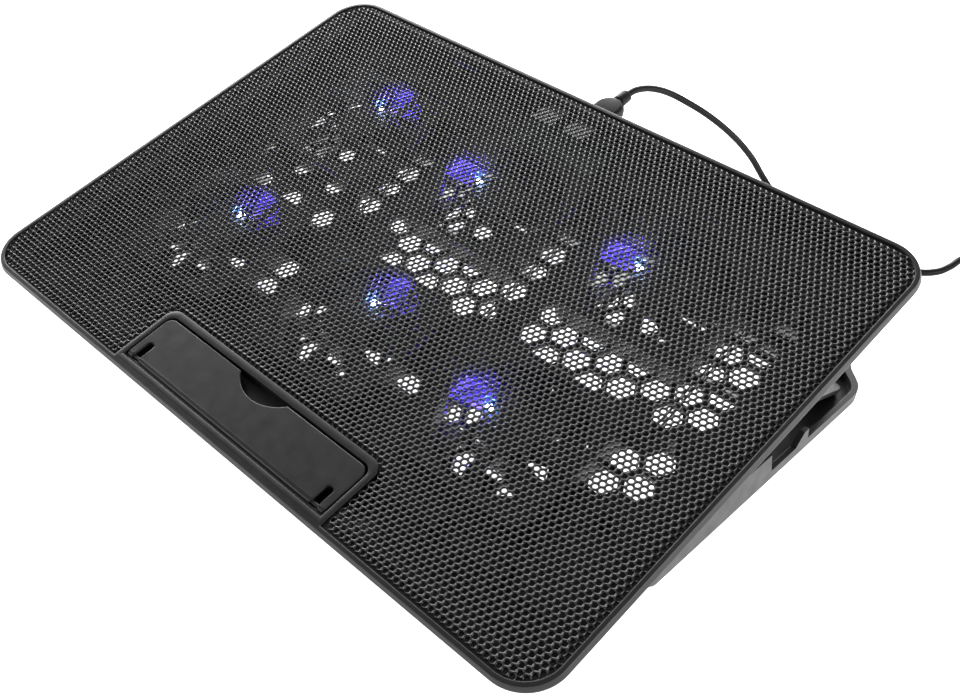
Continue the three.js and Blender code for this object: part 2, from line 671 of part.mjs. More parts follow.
const stand = new THREE.Group();
stand.add(part('stand_frame', standFrame(), 'shell'));
stand.add(part('hinge_pin_left', hingePin(-1), 'nickel'));
stand.add(part('hinge_pin_right', hingePin(1), 'nickel'));
[[-160, 91.5], [160, 91.5], [-157, 235], [157, 235]].forEach(([x, y], i) => {
  stand.add(part(`stand_foot_${i + 1}`, standFoot(x, y), 'rubber'));
});

const lead = new THREE.Group();
lead.add(part('usb_cable', tube(CABLE_ROUTE, CABLE_RADIUS, 8, CABLE_STEPS), 'rubber'));
lead.add(part('usb_cable_coil', cableCoil(), 'rubber'));
lead.add(part('usb_cable_tail', tube(TAIL_ROUTE, CABLE_RADIUS, 8, 4), 'rubber'));
const farPlug = new THREE.Group();
farPlug.position.set(TAIL_X + 1.8, COIL_Y - 25 - GAP - RELIEF_LENGTH - PLUG_LENGTH, PLUG_HEIGHT / 2 + 0.05);
const farBoot = part('far_plug_boot', plugBoot(), 'rubber');
const farShell = part('far_plug_shell', plugShell(12.1), 'nickel');
farShell.position.set(0, -12.4, 0);
farPlug.add(farBoot, farShell);
lead.add(farPlug);

const model = new THREE.Group();
model.position.set(0, -CENTRE_Y, 0);
model.add(deck, stand, lead);

export default model;
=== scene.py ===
"""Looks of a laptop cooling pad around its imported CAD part.

Shapes are given in millimetres, and build() makes metres of them. Deck pieces are made in the deck's own
plane: x across, s from its front edge to the rear, z up from its top face.
"""

import json
import math

import bpy
import numpy as np
from mathutils import Matrix, Vector
from mathutils.geometry import delaunay_2d_cdt

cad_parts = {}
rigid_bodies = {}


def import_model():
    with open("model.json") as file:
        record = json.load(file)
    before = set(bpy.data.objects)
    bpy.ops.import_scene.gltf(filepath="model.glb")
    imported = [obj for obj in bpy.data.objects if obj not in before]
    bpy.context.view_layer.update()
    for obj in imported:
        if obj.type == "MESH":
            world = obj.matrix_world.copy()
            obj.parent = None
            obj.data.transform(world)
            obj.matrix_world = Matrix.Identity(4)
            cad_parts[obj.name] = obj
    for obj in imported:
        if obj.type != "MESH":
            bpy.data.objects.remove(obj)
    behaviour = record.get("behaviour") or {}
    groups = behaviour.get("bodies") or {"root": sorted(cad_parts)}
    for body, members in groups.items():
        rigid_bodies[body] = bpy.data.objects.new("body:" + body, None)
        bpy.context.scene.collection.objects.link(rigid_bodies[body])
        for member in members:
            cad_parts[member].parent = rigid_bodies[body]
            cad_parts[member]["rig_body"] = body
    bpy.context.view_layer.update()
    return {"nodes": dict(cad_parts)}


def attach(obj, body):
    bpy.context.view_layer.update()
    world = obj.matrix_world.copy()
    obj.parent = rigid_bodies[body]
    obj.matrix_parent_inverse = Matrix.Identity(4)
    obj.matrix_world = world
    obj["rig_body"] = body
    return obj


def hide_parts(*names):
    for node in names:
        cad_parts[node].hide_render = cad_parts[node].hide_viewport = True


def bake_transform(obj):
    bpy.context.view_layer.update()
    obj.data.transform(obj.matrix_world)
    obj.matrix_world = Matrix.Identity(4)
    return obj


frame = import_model()
nodes = frame["nodes"]

TILT = math.radians(12.42)
FRONT_HEIGHT = 16.0
CENTRE_Y = (261.2 * math.cos(TILT) + 3 * math.sin(TILT)) / 2
DECK = Matrix.Translation((0, -CENTRE_Y / 1000, FRONT_HEIGHT / 1000)) @ Matrix.Rotation(TILT, 4, "X")
STAND = Matrix.Translation((0, -CENTRE_Y / 1000, 0))


# ---- camera ---------------------------------------------------------------------------------------
def make_camera():
    data = bpy.data.cameras.new("camera")
    data.sensor_width = 36
    data.lens = 46.56
    data.shift_x, data.shift_y = 0.0909, -0.0573
    data.clip_start, data.clip_end = 0.01, 20
    camera = bpy.data.objects.new("camera", data)
    bpy.context.scene.collection.objects.link(camera)
    look = Vector((-0.5649, 0.5448, -0.6197)).normalized()
    right = look.cross(Vector((0, 0, 1))).normalized()
    up = right.cross(look)
    turn = Matrix((right, up, -look)).transposed().to_4x4()
    camera.matrix_world = Matrix.Translation((0.3202, (-199.3 - CENTRE_Y) / 1000, 0.3835)) @ turn
    bpy.context.scene.camera = camera


make_camera()


# ---- mesh helpers ---------------------------------------------------------------------------------
def build(name, points, faces, place, body, material, smooth=None):
    """A mesh piece from points in millimetres; edges up to smooth degrees shade smooth."""
    mesh = bpy.data.meshes.new(name)
    mesh.from_pydata([tuple(p) for p in np.asarray(points, float) / 1000], [], faces)
    mesh.validate()
    mesh.update()
    if smooth:
        mesh.shade_smooth()
        mesh.set_sharp_from_angle(angle=math.radians(smooth))
    mesh.materials.append(material)
    piece = bpy.data.objects.new(name, mesh)
    bpy.context.scene.collection.objects.link(piece)
    piece.matrix_world = place
    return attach(piece, body)


def merge(*shapes):
    """Joins (points, faces) shapes into one."""
    points, faces = [], []
    for some_points, some_faces in shapes:
        base = len(points)
        points.extend(some_points)
        faces.extend([[i + base for i in face] for face in some_faces])
    return points, faces


def outline(x0, x1, y0, y1, corners, steps=12):
    """Rounded rectangle from the front left corner, anticlockwise; corners is one radius or four."""
    radii = corners if isinstance(corners, (list, tuple)) else [corners] * 4
    centres = [
        (x0 + radii[0], y0 + radii[0], 180), (x1 - radii[1], y0 + radii[1], 270),
        (x1 - radii[2], y1 - radii[2], 0), (x0 + radii[3], y1 - radii[3], 90),
    ]
    points = []
    for (cx, cy, start), radius in zip(centres, radii):
        for i in range(steps + 1):
            angle = math.radians(start + 90 * i / steps)
            points.append((cx + radius * math.cos(angle), cy + radius * math.sin(angle)))
    return points


def loft(loops, cap_first=False, cap_last=False, closed=False):
    """Skins loops of 3-D points that all have the same number of points."""
    count = len(loops[0])
    points = [p for loop in loops for p in loop]
    faces = []
    pairs = len(loops) if closed else len(loops) - 1
    for row in range(pairs):
        low, high = row * count, ((row + 1) % len(loops)) * count
        for i in range(count):
            j = (i + 1) % count
            faces.append([low + i, low + j, high + j, high + i])
    if cap_first:
        faces.append(list(range(count))[::-1])
    if cap_last:
        faces.append(list(range((len(loops) - 1) * count, len(loops) * count)))
    return points, faces


def at(points, z):
    return [(x, y, z) for x, y in points]


def plate(points, low, high, edge=0.4, steps=3):
    """A solid slab with a rounded top edge; the outline may be any anticlockwise polygon."""
    flat = np.array(points)
    before, after = np.roll(flat, 1, 0), np.roll(flat, -1, 0)

    def normal(a, b):
        d = b - a
        length = np.linalg.norm(d, axis=1, keepdims=True)
        length[length < 1e-9] = 1
        d = d / length
        return np.stack([-d[:, 1], d[:, 0]], 1)

    one, two = normal(before, flat), normal(flat, after)
    inward = one + two
    inward /= np.maximum(np.sum(inward * one, 1, keepdims=True), 0.35)
    loops = [at(points, low)]
    for i in range(steps + 1):
        turn = math.pi / 2 * i / steps
        moved = flat + inward * edge * (1 - math.cos(turn))
        loops.append(at(moved, high - edge + edge * math.sin(turn)))
    loops.append(at(flat + inward * edge * 1.5, high))
    return loft(loops, cap_first=True, cap_last=True)


def tube(path, radius, sides=12, caps=True):
    """A round tube along 3-D points, with a frame carried along without twist."""
    path = np.asarray(path, float)
    ahead = np.gradient(path, axis=0)
    ahead /= np.linalg.norm(ahead, axis=1, keepdims=True)
    side = np.cross(ahead[0], [0, 0, 1.0])
    if np.linalg.norm(side) < 1e-6:
        side = np.array([1.0, 0, 0])
    side /= np.linalg.norm(side)
    loops = []
    for point, forward in zip(path, ahead):
        side = side - forward * side.dot(forward)
        side /= np.linalg.norm(side)
        lift = np.cross(side, forward)
        loops.append([
            tuple(point + radius * (math.cos(a) * side + math.sin(a) * lift))
            for a in (2 * math.pi * i / sides for i in range(sides))
        ])
    return loft(loops, cap_first=caps, cap_last=caps)


def smooth_path(points, step):
    """Centripetal Catmull-Rom curve through the points, resampled evenly about every step millimetres."""
    p = np.asarray(points, float)
    p = np.vstack([2 * p[0] - p[1], p, 2 * p[-1] - p[-2]])
    fine = []
    for i in range(1, len(p) - 2):
        a, b, c, d = p[i - 1], p[i], p[i + 1], p[i + 2]
        t0 = 0
        t1 = t0 + math.sqrt(np.linalg.norm(b - a))
        t2 = t1 + math.sqrt(np.linalg.norm(c - b))
        t3 = t2 + math.sqrt(np.linalg.norm(d - c))
        for t in np.linspace(t1, t2, 24, endpoint=False):
            q1 = a * (t1 - t) / (t1 - t0) + b * (t - t0) / (t1 - t0)
            q2 = b * (t2 - t) / (t2 - t1) + c * (t - t1) / (t2 - t1)
            q3 = c * (t3 - t) / (t3 - t2) + d * (t - t2) / (t3 - t2)
            r1 = q1 * (t2 - t) / (t2 - t0) + q2 * (t - t0) / (t2 - t0)
            r2 = q2 * (t3 - t) / (t3 - t1) + q3 * (t - t1) / (t3 - t1)
            fine.append(r1 * (t2 - t) / (t2 - t1) + r2 * (t - t1) / (t2 - t1))
    fine.append(p[-2])
    fine = np.array(fine)
    run = np.concatenate([[0], np.cumsum(np.linalg.norm(np.diff(fine, axis=0), axis=1))])
    count = max(2, int(round(run[-1] / step)) + 1)
    even = np.linspace(0, run[-1], count)
    return np.stack([np.interp(even, run, fine[:, k]) for k in range(3)], 1), run[-1]


def circle(x, y, radius, sides):
    """Points around a circle, anticlockwise."""
    turns = np.linspace(0, 2 * math.pi, sides, endpoint=False)
    return [(x + radius * math.cos(a), y + radius * math.sin(a)) for a in turns]


def box(x0, x1, y0, y1, z0, z1, edge=0.2):
    return plate([(x0, y0), (x1, y0), (x1, y1), (x0, y1)], z0, z1, edge, 2)


# ---- materials ------------------------------------------------------------------------------------
def new_material(name):
    material = bpy.data.materials.new(name)
    material.use_nodes = True
    tree = material.node_tree
    shader = tree.nodes["Principled BSDF"]
    return material, tree, shader


def add(tree, kind, **values):
    node = tree.nodes.new(kind)
    for key, value in values.items():
        if key in node.inputs:
            node.inputs[key].default_value = value
        else:
            setattr(node, key, value)
    return node


def coordinates(tree):
    return add(tree, "ShaderNodeTexCoord").outputs["Object"]


def noise(tree, scale, detail=4.0, roughness=0.6):
    node = add(tree, "ShaderNodeTexNoise", Scale=scale, Detail=detail, Roughness=roughness)
    tree.links.new(coordinates(tree), node.inputs["Vector"])
    return node.outputs["Fac"]


def spread(tree, source, low, high):
    node = add(tree, "ShaderNodeMapRange")
    node.inputs["To Min"].default_value = low
    node.inputs["To Max"].default_value = high
    node.inputs["From Min"].default_value = 0.3
    node.inputs["From Max"].default_value = 0.7
    tree.links.new(source, node.inputs["Value"])
    return node.outputs["Result"]


def tint(tree, source, dark, light):
    ramp = add(tree, "ShaderNodeValToRGB")
    ramp.color_ramp.elements[0].position, ramp.color_ramp.elements[1].position = 0.3, 0.7
    ramp.color_ramp.elements[0].color, ramp.color_ramp.elements[1].color = (*dark, 1), (*light, 1)
    tree.links.new(source, ramp.inputs["Fac"])
    return ramp.outputs["Color"]


def moulded(name, dark, light, roughness, grain=900, depth=0.00004, edge=0.0004, metallic=0.0,
            specular=0.5):
    """Plastic, rubber or paint: mottled colour, uneven roughness, a fine grain, and softened edges."""
    material, tree, shader = new_material(name)
    tree.links.new(tint(tree, noise(tree, 45), dark, light), shader.inputs["Base Color"])
    uneven = spread(tree, noise(tree, 160), roughness - 0.05, roughness + 0.06)
    tree.links.new(uneven, shader.inputs["Roughness"])
    shader.inputs["Metallic"].default_value = metallic
    shader.inputs["Specular IOR Level"].default_value = specular
    bump = add(tree, "ShaderNodeBump", Strength=0.5, Distance=depth)
    tree.links.new(noise(tree, grain, 2.0, 0.5), bump.inputs["Height"])
    if edge:
        bevel = add(tree, "ShaderNodeBevel", Radius=edge, samples=4)
        tree.links.new(bevel.outputs["Normal"], bump.inputs["Normal"])
    tree.links.new(bump.outputs["Normal"], shader.inputs["Normal"])
    return material


SHELL = moulded("shell_plastic", (0.008, 0.008, 0.0088), (0.011, 0.011, 0.012), 0.38, specular=0.3)
STAND_PLASTIC = moulded("stand_plastic", (0.008, 0.008, 0.009), (0.012, 0.012, 0.013), 0.42, specular=0.4)
COVER = moulded("cover_plastic", (0.012, 0.012, 0.013), (0.018, 0.018, 0.019), 0.5)
FAN = moulded("fan_plastic", (0.012, 0.012, 0.014), (0.018, 0.018, 0.021), 0.4, grain=500)
RUBBER = moulded("rubber", (0.012, 0.012, 0.012), (0.02, 0.02, 0.02), 0.62, grain=1500)
JACKET = moulded("cable_jacket", (0.004, 0.004, 0.0045), (0.007, 0.007, 0.0075), 0.5, grain=700, edge=0,
                 specular=0.12)
BOOT = moulded("plug_boot", (0.004, 0.004, 0.0045), (0.007, 0.007, 0.0075), 0.5, grain=1200,
               specular=0.14)
NICKEL = moulded("nickel", (0.58, 0.58, 0.59), (0.70, 0.70, 0.71), 0.26, grain=1800, depth=0.00001,
                 edge=0.0002, metallic=1)
WHITE = moulded("white_plastic", (0.68, 0.68, 0.65), (0.76, 0.76, 0.73), 0.45, grain=900)
BOARD = moulded("circuit_board", (0.012, 0.055, 0.024), (0.022, 0.085, 0.038), 0.35, grain=600, edge=0.0001)
SOLDER = moulded("solder", (0.55, 0.55, 0.56), (0.75, 0.75, 0.76), 0.3, grain=1400, depth=0.00003,
                 edge=0, metallic=1)
DARK_STEEL = moulded("blackened_steel", (0.05, 0.05, 0.052), (0.08, 0.08, 0.083), 0.36, grain=1600,
                     depth=0.00001, edge=0.0001, metallic=1)
WIRE = moulded("fan_wire", (0.02, 0.018, 0.018), (0.035, 0.03, 0.03), 0.45, grain=900, edge=0)
STEEL = moulded("painted_mesh", (0.004, 0.004, 0.0045), (0.007, 0.007, 0.0078), 0.26, grain=1300,
                depth=0.00002, edge=0, specular=0.45)


def lamp_material():
    material, tree, shader = new_material("led_lens")
    facing = add(tree, "ShaderNodeLayerWeight", Blend=0.4)
    glow = add(tree, "ShaderNodeValToRGB")
    glow.color_ramp.elements[0].color = (0.55, 0.75, 1.0, 1)
    glow.color_ramp.elements[1].color = (0.12, 0.1, 1.0, 1)
    tree.links.new(facing.outputs["Facing"], glow.inputs["Fac"])
    tree.links.new(glow.outputs["Color"], shader.inputs["Emission Color"])
    lens_color = tint(tree, noise(tree, 400), (0.2, 0.25, 0.9), (0.3, 0.36, 1.0))
    tree.links.new(lens_color, shader.inputs["Base Color"])
    shader.inputs["Emission Strength"].default_value = 45
    shader.inputs["Roughness"].default_value = 0.2
    return material


LENS = lamp_material()


# ---- lead -----------------------------------------------------------------------------------------
CABLE_D = 3.5
ROUTE = [
    (-2, 278.55, 68.65), (-1.3, 284.5, 69.3), (0.8, 292, 68.4), (3.6, 299.5, 65.7), (7.2, 307, 61.5),
    (12.6, 313.4, 56.6), (19.2, 320.6, 50.4), (26.6, 329.2, 41.6), (33.4, 337.6, 31.4), (40, 344.4, 20.4),
    (46.6, 347.6, 10.4), (54, 348, 4), (63, 346.6, 1.8), (76, 343.6, 1.8), (90, 339.8, 1.8), (105, 336.4, 1.8),
    (120, 334.6, 1.8), (134, 336, 1.8), (145.4, 341.2, 1.8), (151.2, 348.4, 1.8), (153.6, 357.6, 1.8),
    (154.4, 366.4, 1.8), (158.2, 374.2, 1.8), (166.6, 378.4, 1.8), (177.3, 378.9, 1.8),
]
COIL_X, COIL_Y, COIL_OUT, COIL_IN = 190, 358, 20.85, 17.25
TAIL = [(210.9, 350.6, 4.6), (211.2, 345.2, 3.4), (211.9, 340, 3.2), (212.6, 333, 3.5)]


def coil_points():
    """Two and a quarter clockwise turns: in on the outer turn, then the inner, and out across it."""
    points = []
    for i in range(1, 46):
        turned = 810 * i / 45
        angle = math.radians(90 - turned)
        inward = min(max((turned - 60) / 300, 0), 1)
        outward = min(max((turned - 640) / 150, 0), 1)
        radius = COIL_OUT - (COIL_OUT - COIL_IN) * (inward * inward * (3 - 2 * inward))
        radius += (COIL_OUT - COIL_IN) * (outward * outward * (3 - 2 * outward))
        lift = min(max((turned - 560) / 110, 0), 1)
        z = 1.8 + 3.7 * lift * lift * (3 - 2 * lift)
        points.append((COIL_X + radius * math.cos(angle), COIL_Y + radius * math.sin(angle), z))
    return points


# distance along the boot, half width, half height and corner radius
BOOT_STATIONS = [
    (0, 7.2, 3.3, 1.6), (0.3, 7.5, 3.5, 1.8), (13.6, 7.5, 3.5, 1.8), (16.2, 7.1, 3.45, 2.2),
    (18.4, 6.0, 3.35, 2.8), (19.8, 4.6, 3.2, 3.0), (20.6, 3.3, 2.9, 2.8), (21.0, 2.8, 2.7, 2.6),
    (21.3, 3.4, 3.4, 3.3), (27.6, 3.3, 3.3, 3.2), (28.2, 3.0, 3.0, 2.9), (28.4, 2.2, 2.2, 2.1),
]


def make_boot(name, place, body, stands_for):
    """A moulded plug boot with round shoulders, a groove and a collar around the cable."""
    loops = [[(x, along, z) for x, z in outline(-wide, wide, -tall, tall, corner, 8)]
             for along, wide, tall, corner in BOOT_STATIONS]
    boot = build(name, *loft(loops, cap_first=True, cap_last=True), place, body, BOOT, smooth=40)
    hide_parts(stands_for)
    return boot


def make_lead():
    near_boot = make_boot("socket_plug_boot", DECK @ Matrix.Translation((-0.002, 0.255, -0.0085)), "deck",
                          "near_plug_boot")
    far_boot = make_boot("free_plug_boot", STAND @ Matrix.Translation((0.2126, 0.3047, 0.00355)), "stand",
                         "far_plug_boot")
    path, length = smooth_path(ROUTE + coil_points() + TAIL, 1.4)
    points, faces = tube(path, CABLE_D / 2, 14)
    lead = build("usb_lead", points, faces, STAND, "stand", JACKET, smooth=50)
    lead.parent = None
    lead.matrix_world = STAND
    del lead["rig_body"]
    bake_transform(lead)
    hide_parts("usb_cable", "usb_cable_coil", "usb_cable_tail")
    outer_x, inner_x, top_z = COIL_X - 23.4, COIL_X - 14.6, 4.2
    around = [(outer_x, 0.0), (outer_x, top_z), (inner_x, top_z), (inner_x, 0.0)]
    loops = []
    for y in (-2.6, -2.2, 2.2, 2.6):
        grow = 0.0 if abs(y) > 2.3 else 0.25
        loops.append([
            (x + (grow if x > COIL_X - 19 else -grow), COIL_Y + y, z + (grow if z > 2 else 0))
            for x, z in around
        ])
    inner = [[(x + (0.5 if x < COIL_X - 19 else -0.5), y, z - 0.4 if z > 2 else z + 0.05) for x, y, z in loop]
             for loop in (loops[-1], loops[0])]
    tie_points, tie_faces = loft(loops + inner, closed=True)
    tie = build("coil_tie", tie_points, tie_faces, STAND, "stand", RUBBER)


make_lead()


# ---- deck shell -----------------------------------------------------------------------------------
def deck_outline(inset, steps=18):
    return outline(-180 + inset, 180 - inset, inset, 261.2 - inset, 20 - inset, steps)


def arc_edge(inset, z, radius, steps=4, start=0, end=90):
    """(inset, z) points of a rounded edge whose centre is at (inset, z)."""
    return [
        (inset - radius * math.cos(math.radians(start + (end - start) * i / steps)),
         z + radius * math.sin(math.radians(start + (end - start) * i / steps)))
        for i in range(steps + 1)
    ]


def make_top_frame():
    section = [(0.35, -3.0), (0.05, -2.75), *arc_edge(1.35, -0.6, 0.6, 4, 20), (2.6, 0.0)]
    section += arc_edge(2.6, -0.4, 0.4, 3, 90, 180)
    section += [(3.0, -1.4), (7.5, -1.4), (7.5, -3.0)]
    ring = loft([at(deck_outline(inset), z) for inset, z in section], closed=True)
    outer = outline(-69.9, 69.9, 2.2, 38.6, [0.4, 0.4, 6, 6])
    rim = 0.02
    block = loft([
        at(outer, -8), at(outer, -0.4), at(outline(-69.75, 69.75, 2.25, 38.45, [0.4, 0.4, 6, 6]), -0.1),
        at(outline(-69.4, 69.4, 2.4, 38.1, [0.4, 0.4, 5.6, 5.6]), rim),
        at(outline(-67.5, 67.5, 5.5, 35.3, [0.4, 0.4, 5.3, 5.3]), rim),
        at(outline(-67.1, 67.1, 5.9, 34.9, [0.4, 0.4, 4.9, 4.9]), -0.12),
        at(outline(-67, 67, 6, 34.8, [0.4, 0.4, 4.8, 4.8]), -0.5),
        at(outline(-67, 67, 6, 34.8, [0.4, 0.4, 4.8, 4.8]), -6.5),
    ], cap_first=True, cap_last=True)
    piece = build("deck_frame", *merge(ring, block), DECK, "deck", SHELL, smooth=35)
    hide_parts("top_frame")


# the sheet's hole pitch, hole radius, thickness, and how far each hole's lip falls
PITCH = 3.0
HOLE = 1.13
MESH_DEEP = 0.8
LIP_FALL = 0.24


def rounded_distance(x, y, cx, cy, hx, hy, radius):
    """Distance from a rounded rectangle, negative inside it."""
    qx, qy = np.abs(x - cx) - (hx - radius), np.abs(y - cy) - (hy - radius)
    return np.hypot(np.maximum(qx, 0), np.maximum(qy, 0)) + np.minimum(np.maximum(qx, qy), 0) - radius


def border_room(x, y):
    """Distance in from the nearest edge of the mesh's opening."""
    rim = -rounded_distance(x, y, 0, 130.6, 180, 130.6, 20) - 3.0
    tray = rounded_distance(x, y, 0, 9.3, 69.9, 29.3, 6)
    return np.minimum(rim, tray)


def make_mesh_panel():
    """The perforated sheet: hexagonal cells with a coned lip around each hole; its border is pressed down."""
    row_step = PITCH * math.sqrt(3) / 2
    rows = np.arange(-2, 103)
    columns = np.arange(-60, 61)
    grid_x, grid_y = np.meshgrid(columns * PITCH, 3.2 + rows * row_step)
    grid_x = grid_x + (np.abs(rows) % 2)[:, None] * PITCH / 2
    keep = border_room(grid_x, grid_y) > 0.7
    cx, cy = grid_x[keep], grid_y[keep]
    corner = np.radians(30 + 60 * np.arange(6))
    around = np.radians(30 * np.arange(12))
    rim_r, top_r, low_r = PITCH / math.sqrt(3), HOLE, HOLE - 0.09
    ring = [
        (rim_r * np.cos(corner), rim_r * np.sin(corner)),
        (top_r * np.cos(around), top_r * np.sin(around)),
        (low_r * np.cos(around), low_r * np.sin(around)),
    ]
    local = np.concatenate([np.stack(r, 1) for r in ring])
    flat = np.stack([cx, cy], 1)[:, None, :] + local[None]
    drop = np.zeros(30)
    drop[6:18] = LIP_FALL
    drop[18:] = MESH_DEEP
    press = np.clip((2.6 - border_room(flat[..., 0], flat[..., 1])) / 1.8, 0, 1)
    z = -0.02 - drop[None] - 0.7 * press * press * (3 - 2 * press)
    points = np.concatenate([flat, z[..., None]], 2)
    faces = []
    for k in range(6):
        faces.append([k, (k + 1) % 6, 6 + (2 * k + 3) % 12, 6 + (2 * k + 2) % 12, 6 + (2 * k + 1) % 12])
    for k in range(12):
        j = (k + 1) % 12
        faces.append([6 + k, 6 + j, 18 + j, 18 + k])
    bands = [("front", -1e9, 88), ("middle", 88, 174), ("rear", 174, 1e9)]
    for where, low, high in bands:
        chosen = points[(cy > low) & (cy <= high)]
        verts = chosen.reshape(-1, 3)
        all_faces = [[i + 30 * c for i in face] for c in range(len(chosen)) for face in faces]
        piece = build(f"mesh_{where}", verts, all_faces, DECK, "deck", STEEL, smooth=120)
        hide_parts("mesh_panel")


FANS = [(x, s) for s in (86, 185) for x in (-99.5, -2.9, 93.7)]
BELLY_STATIONS = [(0, 4.6), (12, 4.6), (36, 18.4), (231, 18.4), (233, 15.2), (260, 15.2)]
BELLY_BREAKS = (12, 36, 231, 233)
BELLY_REAR = 254.5
POSTS = [
    (-148, 86), (-148, 135), (-148, 212), (-51.2, 135), (45.4, 135), (45.4, 222), (146, 80), (146, 212),
    (146, 126),
]


def belly_depth(s):
    return float(np.interp(s, [a for a, _ in BELLY_STATIONS], [b for _, b in BELLY_STATIONS]))


def hexagon(x, y, radius):
    corners = [math.radians(60 * i) for i in range(6)]
    return [(x + radius * math.cos(a), y + radius * math.sin(a)) for a in corners]


def holed(border, holes, lines=()):
    """Triangles of a flat region with polygon holes; lines are extra edges that the triangles must keep."""
    points, edges = [], []
    for loop in [border, *holes]:
        base = len(points)
        points.extend(Vector(p) for p in loop)
        edges.extend((base + i, base + (i + 1) % len(loop)) for i in range(len(loop)))
    for a, b in lines:
        points.extend([Vector(a), Vector(b)])
        edges.append((len(points) - 2, len(points) - 1))
    out_points, _, faces, *_ = delaunay_2d_cdt(points, edges, [], 0, 1e-5)
    rings = [np.array(h) for h in holes]
    centres = np.array([r.mean(0) for r in rings]) if rings else np.zeros((0, 2))
    reach = np.array([np.linalg.norm(r - r.mean(0), axis=1).max() for r in rings]) if rings else np.zeros(0)
    outer = np.array(border)

    def within(p, polygon):
        x, y = polygon[:, 0], polygon[:, 1]
        x2, y2 = np.roll(x, -1), np.roll(y, -1)
        crosses = (y > p[1]) != (y2 > p[1])
        with np.errstate(divide="ignore", invalid="ignore"):
            edge_x = x + (p[1] - y) * (x2 - x) / (y2 - y)
        return np.count_nonzero(crosses & (edge_x > p[0])) % 2 == 1

    kept = []
    for face in faces:
        middle = np.mean([out_points[i] for i in face], axis=0)
        near = np.nonzero(np.hypot(*(centres - middle).T) < reach)[0] if len(rings) else []
        if within(middle, outer) and not any(within(middle, rings[i]) for i in near):
            kept.append(list(face))
    return [tuple(p) for p in out_points], kept


def solid_floor(x, s):
    """True where the belly's floor has no cells: margins, wire lanes, bars across and the right side bar."""
    under_fan = min(abs(x - fan_x) for fan_x, _ in FANS) < 22
    return (
        s < 64 or s > 203 or (s < 79 and not under_fan) or x < -140 or 42 < abs(x) < 56
        or (x < 115 and 98 < s < 120) or (28 < abs(x) < 64 and 98 < s < 128)
        or (28 < x < 64 and 88 < s < 100)
        or (x > 115 and (s < 92 or 119 < s < 134)) or (-134 < x < -30 and 134 < s < 150)
    )


def honeycomb():
    cells = []
    for column in range(-12, 13):
        x = column * 12.124
        start = 144.3 if column % 2 == 0 else 137.3
        for row in range(-6, 6):
            if not solid_floor(x, start + 14 * row):
                cells.append(hexagon(x, start + 14 * row, 11.5 / math.sqrt(3)))
    return cells


def make_bottom_cover():
    plan = outline(-165, 165, 8, BELLY_REAR, 10, 8)
    breaks = [((-165, s), (165, s)) for s in BELLY_BREAKS]
    tray = [(-71.5, 8.6), (71.5, 8.6), (71.5, 18.2), (-71.5, 18.2)]
    floor_points, floor_faces = holed(plan, [tray, *honeycomb()], breaks)
    floor = ([(x, s, -belly_depth(s)) for x, s in floor_points], [face[::-1] for face in floor_faces])
    wall_points, wall_faces = [], []
    for i, (x, s) in enumerate(plan):
        nx, ns = plan[(i + 1) % len(plan)]
        if abs(s - BELLY_REAR) < 1e-6 and abs(ns - BELLY_REAR) < 1e-6 and abs(x - nx) > 50:
            continue
        stops = [s] + [b for b in BELLY_BREAKS if min(s, ns) < b < max(s, ns)] + [ns]
        stops = sorted(stops, reverse=ns < s)
        for a, b in zip(stops, stops[1:]) if s != ns else [(s, ns)]:
            share = [(v - s) / (ns - s) if ns != s else k for k, v in enumerate((a, b))]
            xa, xb = x + (nx - x) * share[0], x + (nx - x) * share[1]
            base = len(wall_points)
            wall_points += [
                (xa, a, -3.3), (xb, b, -3.3), (xb, b, -belly_depth(b)), (xa, a, -belly_depth(a)),
            ]
            wall_faces.append([base, base + 3, base + 2, base + 1])
    ports = [outline(x - 7, x + 7, -11.8, -5.2, 0.6, 3) for x in (-22.5, -2)]
    ports.append(outline(8.3, 15.7, -9.9, -7.6, 0.5, 3))
    rear_points, rear_faces = holed([(-155, -15.2), (155, -15.2), (155, -3.3), (-155, -3.3)], ports)
    rear = ([(x, BELLY_REAR, z) for x, z in rear_points], [face[::-1] for face in rear_faces])
    shell = build("belly_shell", *merge(floor, (wall_points, wall_faces), rear), DECK, "deck", COVER)
    weld = shell.modifiers.new("weld", "WELD")
    weld.merge_threshold = 0.00002
    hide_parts("bottom_cover")
    thick = shell.modifiers.new("thickness", "SOLIDIFY")
    thick.thickness, thick.offset = 0.002, -1
    inner = outline(-164.6, 164.6, 8.4, 254.1, 9.6, 18)
    flange = loft([
        at(inner, -3.3), at(deck_outline(0.5), -3.3), at(deck_outline(0.5), -4.3),
        at(deck_outline(0.8), -4.6), at(inner, -4.6),
    ], closed=True)
    skirt = build("deck_flange", *flange, DECK, "deck", SHELL, smooth=35)
    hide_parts("bottom_cover")
    details = []
    for side in (-1, 1):
        x0, x1 = sorted((side * 157, side * 160))
        details.append(box(x0, x1, 159.1, 163.9, -21.6, -16.6, 0.1))
    for x in (-115, 115):
        frame_outer = outline(x - 18.5, x + 18.5, 28.6, 45.4, 2.5, 5)
        frame_inner = outline(x - 17, x + 17, 30.1, 43.9, 1.5, 5)
        details.append(loft([
            at(frame_outer, -17.5), at(frame_outer, -12.2), at(frame_inner, -12.2), at(frame_inner, -17.5),
        ], closed=True))
    for x, s in POSTS:
        post, bore = circle(x, s, 3.4, 20), circle(x, s, 1.3, 20)
        details.append(loft([at(post, -16.6), at(post, -7), at(bore, -7), at(bore, -14)], cap_last=True))
    ribs = build("belly_ribs", *merge(*details), DECK, "deck", COVER, smooth=35)


STOP_AXIS = (9, -2)


